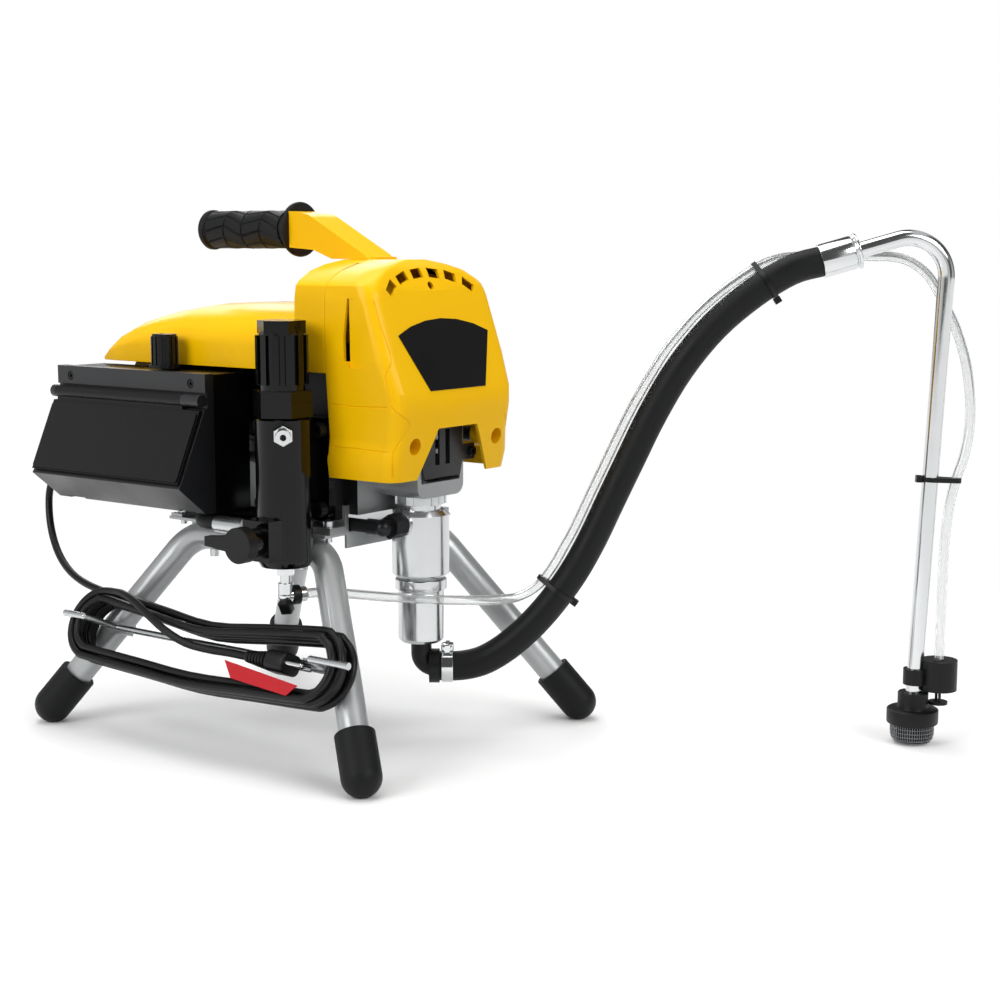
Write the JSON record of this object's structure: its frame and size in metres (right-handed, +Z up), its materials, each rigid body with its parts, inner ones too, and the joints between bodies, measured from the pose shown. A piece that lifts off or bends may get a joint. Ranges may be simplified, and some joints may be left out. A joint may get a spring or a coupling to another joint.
{
  "type": "airless paint sprayer",
  "caption": "Portable electric airless paint sprayer on a four-legged tube stand, with a crank-driven piston pump, side filter, control box, carrying grip, suction set and mains cord",
  "frame": {"origin": "on the floor, midway between the four rubber feet", "axes": "+Z up, the pump and the front cover face -Y, the control box and the filter are on the -X side"},
  "size_m": [0.469, 0.7665, 0.4745],
  "materials": {
    "steel_tube": "satin",
    "plated_steel": "satin",
    "bright_chrome": "polished",
    "cast_metal": "as cast",
    "black_coated_metal": "gloss",
    "gear_steel": "ground",
    "lamination_copper": "varnished",
    "yellow_shell": "gloss",
    "black_plastic": "fine grain",
    "grey_plastic": "fine grain",
    "gloss_badge": "gloss",
    "black_rubber": "satin",
    "clear_vinyl": "clear",
    "green_board": "lacquered",
    "dark_screws": "black oxide",
    "red_tag": "gloss"
  },
  "bodies": {
    "sprayer": {"stand_left": "steel_tube", "stand_right": "steel_tube", "rubber_feet": "black_rubber", "base_plate": "steel_tube", "frame_bolts": "plated_steel", "cord_rod": "plated_steel", "drive_housing": "cast_metal", "motor_can": "black_coated_metal", "motor_end": "cast_metal", "support_brackets": "steel_tube", "bearings": "gear_steel", "pump_cylinder": "bright_chrome", "jam_nut": "plated_steel", "foot_valve": "bright_chrome", "hose_fittings": "plated_steel", "connecting_hose": "black_rubber", "filter_manifold": "black_coated_metal", "machine_screws": "dark_screws", "filter_cap": "black_coated_metal", "filter_element": "plated_steel", "outlet_nipple": "plated_steel", "valve_body": "black_coated_metal", "drain_fitting": "plated_steel", "inlet_elbow": "black_plastic", "hose_clamp": "plated_steel", "suction_hose": "black_rubber", "hose_sleeve": "plated_steel", "suction_tube": "plated_steel", "strainer": "black_plastic", "drain_clip": "black_plastic", "drain_hose": "clear_vinyl", "cable_ties": "black_plastic", "control_box": "black_plastic", "control_bezel": "grey_plastic", "hinge_pin": "plated_steel", "circuit_board": "green_board", "strain_relief": "black_rubber", "power_lead": "black_rubber", "cord_hank": "black_rubber", "power_plug": "black_rubber", "cord_tag": "red_tag", "front_cover": "yellow_shell", "mid_cover": "yellow_shell", "rear_cover": "yellow_shell", "handle_arm": "yellow_shell", "grip": "black_rubber", "badge_plate": "gloss_badge", "yoke_guard": "grey_plastic"},
    "motor_rotor": {"motor_shaft": "gear_steel", "armature": "lamination_copper", "fan": "black_plastic"},
    "layshaft_body": {"layshaft": "gear_steel"},
    "crank": {"crankshaft": "gear_steel", "crank_gear": "gear_steel"},
    "rod": {"connecting_rod": "gear_steel"},
    "piston": {"piston_rod": "bright_chrome"},
    "lever": {"prime_lever": "black_plastic"},
    "knob": {"pressure_knob": "black_plastic"},
    "door": {"tool_door": "gloss_badge"},
    "rocker": {"switch_rocker": "black_plastic"}
  },
  "joints": [
    {"name": "motor_spin", "type": "hinge", "parent": "sprayer", "child": "motor_rotor", "pos_m": [0, 0.05, 0.296], "axis": [0, 1, 0], "continuous": true},
    {"name": "layshaft_spin", "type": "hinge", "parent": "sprayer", "child": "layshaft_body", "pos_m": [0, -0.07, 0.261], "axis": [0, 1, 0], "continuous": true},
    {"name": "crank_spin", "type": "hinge", "parent": "sprayer", "child": "crank", "pos_m": [0, -0.1, 0.296], "axis": [0, 1, 0], "continuous": true},
    {"name": "rod_turn", "type": "hinge", "parent": "crank", "child": "rod", "pos_m": [0, -0.1405, 0.307], "axis": [0, 1, 0], "continuous": true},
    {"name": "piston_stroke", "type": "slide", "parent": "sprayer", "child": "piston", "axis": [0, 0, 1], "range_m": [-0.022, 0]},
    {"name": "prime_turn", "type": "hinge", "parent": "sprayer", "child": "lever", "pos_m": [-0.15, -0.071, 0.193], "axis": [-1, 0, 0], "range_deg": [0, 90]},
    {"name": "pressure_turn", "type": "hinge", "parent": "sprayer", "child": "knob", "pos_m": [-0.095, 0.089, 0.327], "axis": [0, 0, 1], "range_deg": [0, 270]},
    {"name": "door_swing", "type": "hinge", "parent": "sprayer", "child": "door", "pos_m": [-0.124, 0.1, 0.304], "axis": [0, 1, 0], "range_deg": [0, 110]},
    {"name": "switch_rock", "type": "hinge", "parent": "sprayer", "child": "rocker", "pos_m": [-0.088, 0.197, 0.28], "axis": [1, 0, 0], "range_deg": [0, 18]}
  ],
  "couplings": [
    {"joint": "layshaft_spin", "follows": "motor_spin", "ratio": -0.27273},
    {"joint": "crank_spin", "follows": "motor_spin", "ratio": 0.090909},
    {"joint": "rod_turn", "follows": "motor_spin", "ratio": -0.090909}
  ]
}
